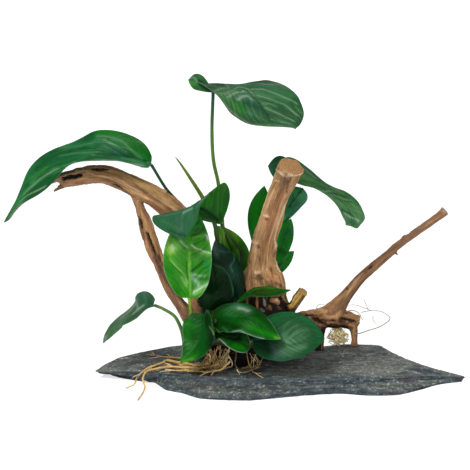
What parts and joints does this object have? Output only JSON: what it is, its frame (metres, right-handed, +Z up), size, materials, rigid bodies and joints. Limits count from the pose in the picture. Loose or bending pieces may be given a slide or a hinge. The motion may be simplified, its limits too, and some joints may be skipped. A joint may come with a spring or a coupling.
{
  "type": "anubias on driftwood",
  "caption": "Broad-leaved water plant with long leaf stalks and trailing roots, grown on branched driftwood that stands on a flat slate base.",
  "frame": {"origin": "middle of the slate's flat underside, on the surface that it rests on", "axes": "+Z up, +X along the slate towards its pointed end, +Y away from the side that is looked at"},
  "size_m": [0.37, 0.128, 0.2504],
  "materials": {
    "slate": "matt split slate",
    "driftwood": "weathered bare wood",
    "rhizome": "firm green creeping stem",
    "leaf": "waxy leaf",
    "stalk": "smooth leaf stalk",
    "root": "fine woody roots"
  },
  "bodies": {
    "root": {"slate_base": "slate", "driftwood_stump": "driftwood", "driftwood_arch_limb": "driftwood", "driftwood_arch_strut": "driftwood", "driftwood_trunk": "driftwood", "driftwood_stub": "driftwood", "driftwood_right_root": "driftwood", "driftwood_right_branch": "driftwood", "driftwood_right_foot": "driftwood", "driftwood_middle_foot": "driftwood", "rhizome_front": "rhizome", "rhizome_back": "rhizome", "leaf_arching": "leaf", "stalk_arching": "stalk", "leaf_top": "leaf", "stalk_top": "stalk", "leaf_folded": "leaf", "stalk_folded": "stalk", "leaf_glossy": "leaf", "stalk_glossy": "stalk", "leaf_dark": "leaf", "stalk_dark": "stalk", "leaf_shaded": "leaf", "stalk_shaded": "stalk", "leaf_low_left": "leaf", "stalk_low_left": "stalk", "leaf_low_middle": "leaf", "stalk_low_middle": "stalk", "leaf_low_small": "leaf", "stalk_low_small": "stalk", "leaf_low_right": "leaf", "stalk_low_right": "stalk", "leaf_olive": "leaf", "stalk_olive": "stalk", "leaf_narrow": "leaf", "stalk_narrow": "stalk", "leaf_back_left": "leaf", "stalk_back_left": "stalk", "leaf_drooping": "leaf", "stalk_drooping": "stalk", "leaf_back_blue": "leaf", "stalk_back_blue": "stalk", "leaf_back_right": "leaf", "stalk_back_right": "stalk", "leaf_back_small": "leaf", "stalk_back_small": "stalk", "leaf_bottom_left": "leaf", "stalk_bottom_left": "stalk", "young_leaf_rolled": "stalk", "root_left": "root", "root_hanging": "root", "root_side": "root", "root_curved": "root", "root_arc": "root", "root_short": "root", "root_wiry_loop": "root", "root_wiry_short": "root", "root_felt": "root", "root_clump": "root"}
  },
  "joints": []
}
